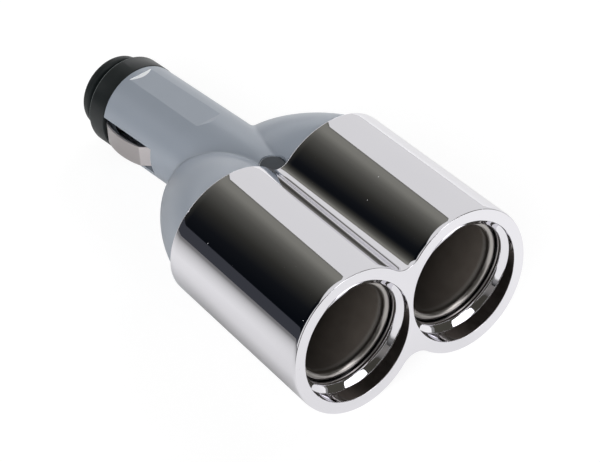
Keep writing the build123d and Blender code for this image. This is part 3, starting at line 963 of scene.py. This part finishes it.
def white_floor(settings):
    """Pale floor: plain diffuse to the light and near white to the eye.

    In reflections it darkens with the logarithm of the distance on the object's left, beside the mouths
    on the left and at both front corners; this darkening is painted shade that only reflections see, and
    beside the mouths it is a painted shadow of the object. They show more of the object's shadow, most of
    it under the object and least of it ahead of the mouths.
    """
    finish = new_finish("pale floor")
    glossy = finish.ray("Glossy")
    fades = {
        name: finish.fade(finish.along(ORIGIN, direction), start, end)
        for name, (direction, start, end) in FLOOR_FADES.items()
    }
    sideways = finish.along(ORIGIN, ACROSS)
    away = finish.node("ShaderNodeVectorMath", {"operation": "LENGTH"}, "Value", Vector=finish.place())
    near, far = math.log(settings.near * MM), math.log(settings.far * MM)
    off = finish.ramp(away.math("LOGARITHM", away, math.e), near, far)
    off = off * finish.fade(0.0 - sideways, 0.0, settings.near)
    # Painted shade in reflections: left of the mouths and at the front corners the floor darkens only for
    # glossy rays
    beside = fades["left"] * (1.0 - fades["far_left"]) * (1.0 - fades["ahead"]) * fades["mouths"]
    dim = (1.0 - settings.falloff * glossy * off) * (1.0 - settings.beside * glossy * beside)
    for corner in ("front_left", "front_right"):
        dim = dim * (1.0 - settings.corners * glossy * fades["ahead"] * fades[corner])
    plain = finish.node("ShaderNodeBsdfDiffuse", Color=settings.paint * dim)
    glow = finish.node("ShaderNodeEmission", Color=settings.floor * dim, Strength=1.0)
    under = 1.0 - finish.fade(abs(sideways), settings.under, settings.under_end)
    shade = settings.mirrored_shadow + (1.0 - settings.mirrored_shadow) * under
    mirrored = (1.0 - settings.clear_ahead * fades["ahead"]) * shade
    seen = finish.ray("Camera") + finish.ray("Transmission")
    lit = seen * (1.0 - settings.shadow) + glossy * (1.0 - mirrored)
    return finish.end(finish.node("ShaderNodeMixShader", Fac=lit, Shader=plain, Shader_001=glow))


def card_glow(name, stops, level):
    """Glow of a card at one level, with colours from its first side to its last."""
    finish = new_finish(name)
    turn = finish.node("ShaderNodeUVMap", {"uv_map": "sweep"})
    across = finish.node("ShaderNodeSeparateXYZ", out="X", Vector=turn)
    tone = finish.node("ShaderNodeValToRGB", {"stops": stops}, Fac=across)
    return finish.end(finish.node("ShaderNodeEmission", Color=tone, Strength=level))


def card(name, azimuths, heights, radius, stops, level=1.0):
    """Part of a sphere round the object that only reflections see.

    The points run over azimuths from +Y towards +X and over elevations, both in degrees.
    """
    rows, columns = 30, 60
    azimuth = np.radians(np.linspace(*azimuths, columns))[None, :]
    lift = np.radians(np.linspace(*heights, rows))[:, None]
    x = radius * np.cos(lift) * np.sin(azimuth)
    y = radius * np.cos(lift) * np.cos(azimuth)
    z = radius * np.sin(lift) + 0 * azimuth
    piece = put(name, *sheet(np.stack([x, y, z], axis=-1), closed=False))
    corners = np.empty(len(piece.data.loops), dtype=np.int64)
    piece.data.loops.foreach_get("vertex_index", corners)
    sweep = np.stack([corners % columns, corners // columns], axis=-1) / (columns - 1)
    piece.data.uv_layers.new(name="sweep").data.foreach_set("uv", sweep.ravel())
    piece.data.materials.append(card_glow(name, stops, level))
    piece.visible_camera = False
    piece.visible_diffuse = False
    piece.visible_shadow = False
    piece.visible_transmission = False
    return piece


def aimed(piece, place, target):
    """Puts a lamp or camera at a place and turns it to a target, both in metres."""
    piece.location = place
    piece.rotation_euler = (Vector(target) - Vector(place)).to_track_quat("-Z", "Y").to_euler()
    bpy.context.scene.collection.objects.link(piece)


def softbox(name, azimuth, lift, power, size):
    """Square lamp one metre from the object at an azimuth and an elevation in degrees, not mirrored."""
    lamp = bpy.data.lights.new(name, "AREA")
    lamp.size = size
    lamp.energy = power
    azimuth, lift = math.radians(azimuth), math.radians(lift)
    place = (math.cos(lift) * math.sin(azimuth), math.cos(lift) * math.cos(azimuth), math.sin(lift))
    piece = bpy.data.objects.new(name, lamp)
    piece.visible_glossy = False
    aimed(piece, place, LIGHT_AIM)


def card_tones(settings):
    """Colours of the cards from their first side to their last, as places from 0 to 1."""
    edge, strip, front = settings.card, settings.strip, settings.front_card
    white = (0.9, 0.92, 0.95)
    return {
        "rear": [
            (0.0, (0.005, 0.006, 0.008)),
            (0.19, (0.003, 0.004, 0.006)),
            (0.26, (0.007, 0.008, 0.010)),
            (0.39, darker(edge, 0.13)),
            (0.51, darker(edge, 0.26)),
            (0.64, darker(edge, 0.40)),
            (0.76, darker(edge, 0.61)),
            (0.88, darker(edge, 0.97)),
            (0.975, edge),
            (1.0, darker(edge, 0.55)),
        ],
        "strip": [(0.0, strip), (1.0, darker(strip, 0.8))],
        "front": [(0.0, front), (0.5, darker(front, 0.7)), (1.0, front)],
        "camera": [
            (0.0, (0.08, 0.078, 0.074)),
            (0.1, (0.16, 0.155, 0.15)),
            (0.3, (0.22, 0.21, 0.20)),
            (0.68, (0.15, 0.145, 0.14)),
            (0.75, white),
            (0.88, white),
            (0.94, (0.12, 0.115, 0.11)),
            (1.0, (0.06, 0.06, 0.058)),
        ],
        "white": [(0.0, (0.95, 0.95, 0.97)), (0.5, (1.0, 1.0, 1.0)), (1.0, (0.9, 0.9, 0.93))],
    }


def soft_room(settings):
    """World: soft light from all round, a brighter room in reflections and white to the eye."""
    room = Finish(bpy.data.worlds.new("soft studio"))
    level = settings.sky + (settings.room - settings.sky) * room.ray("Glossy")
    level = level + (1.0 - settings.sky) * room.ray("Camera")
    light = room.node("ShaderNodeBackground", Color=level, Strength=1.0)
    return room.end(light, "ShaderNodeOutputWorld")


def photo_camera(settings):
    """Camera at the photo's angle."""
    lens = bpy.data.cameras.new("camera")
    lens.lens = settings.lens
    lens.sensor_width = settings.sensor
    lens.sensor_fit = "HORIZONTAL"
    lens.clip_start = 0.01
    camera = bpy.data.objects.new("camera", lens)
    aimed(camera, settings.camera, settings.aim)
    return camera


class ADAPTER_OT_stage(bpy.types.Operator):
    """Sets up the floor, the cards, the light and the camera"""

    bl_idname = "adapter.stage"
    bl_label = "Stage"

    def execute(self, context):
        scene = context.scene
        s = scene.adapter_stage
        scene.view_settings.view_transform = "Standard"
        side = np.array([-s.floor_half, s.floor_half])
        x, y = np.meshgrid(side, side)
        floor = put("floor", *sheet(np.stack([x, y, 0 * x], axis=-1), closed=False))
        floor.data.materials.append(white_floor(s))
        tones = card_tones(s)
        card("rear_card", (-72.0, 32.0), (14.0, 61.0), FAR_CARDS, tones["rear"])
        card("rear_strip", (-72.0, 32.0), (-1.0, 14.0), FAR_CARDS, tones["strip"])
        card("front_card", (95.0, 265.0), (0.0, 70.0), FAR_CARDS, tones["front"])
        card("white_card", (145.5, 172.0), (4.0, 63.0), NEAR_CARDS, tones["white"], level=2.5)
        card("rear_light", (-35.0, 40.0), (9.0, 23.0), MIDDLE_CARDS, tones["white"], level=1.3)
        card("camera_card", (188.0, 208.0), (-1.0, 45.0), NEAR_CARDS, tones["camera"])
        softbox("left_lamp", -120.0, 30.0, s.left, size=0.7)
        softbox("right_lamp", 75.0, 30.0, s.right, size=0.7)
        softbox("rear_lamp", 30.0, 10.0, s.rear, size=0.4)
        scene.world = soft_room(s)
        scene.camera = photo_camera(s)
        return {"FINISHED"}


class VIEW3D_PT_adapter(bpy.types.Panel):
    """Lists the pieces in the sidebar"""

    bl_label = "Adapter"
    bl_space_type = "VIEW_3D"
    bl_region_type = "UI"
    bl_category = "Adapter"

    def draw(self, context):
        for operator in OPERATORS:
            self.layout.operator(operator.bl_idname)


SETTINGS = {
    "adapter_sleeve": SleeveSettings,
    "adapter_body": BodySettings,
    "adapter_metal": MetalSettings,
    "adapter_lamp": LampSettings,
    "adapter_stage": StageSettings,
}
OPERATORS = (
    ADAPTER_OT_sleeve,
    ADAPTER_OT_shells,
    ADAPTER_OT_sockets,
    ADAPTER_OT_contacts,
    ADAPTER_OT_nose,
    ADAPTER_OT_lamp,
    ADAPTER_OT_fuse,
    ADAPTER_OT_wiring,
    ADAPTER_OT_screws,
    ADAPTER_OT_stage,
)


def register():
    """Registers the settings, the operators and the panel."""
    for name, group in SETTINGS.items():
        bpy.utils.register_class(group)
        setattr(bpy.types.Scene, name, PointerProperty(type=group))
    for operator in OPERATORS:
        bpy.utils.register_class(operator)
    bpy.utils.register_class(VIEW3D_PT_adapter)


def unregister():
    """Removes what register added."""
    bpy.utils.unregister_class(VIEW3D_PT_adapter)
    for operator in reversed(OPERATORS):
        bpy.utils.unregister_class(operator)
    for name, group in SETTINGS.items():
        delattr(bpy.types.Scene, name)
        bpy.utils.unregister_class(group)


def main():
    """Builds every piece and the stage."""
    register()
    for operator in OPERATORS:
        group, name = operator.bl_idname.split(".")
        getattr(getattr(bpy.ops, group), name)()


if __name__ == "__main__":
    main()
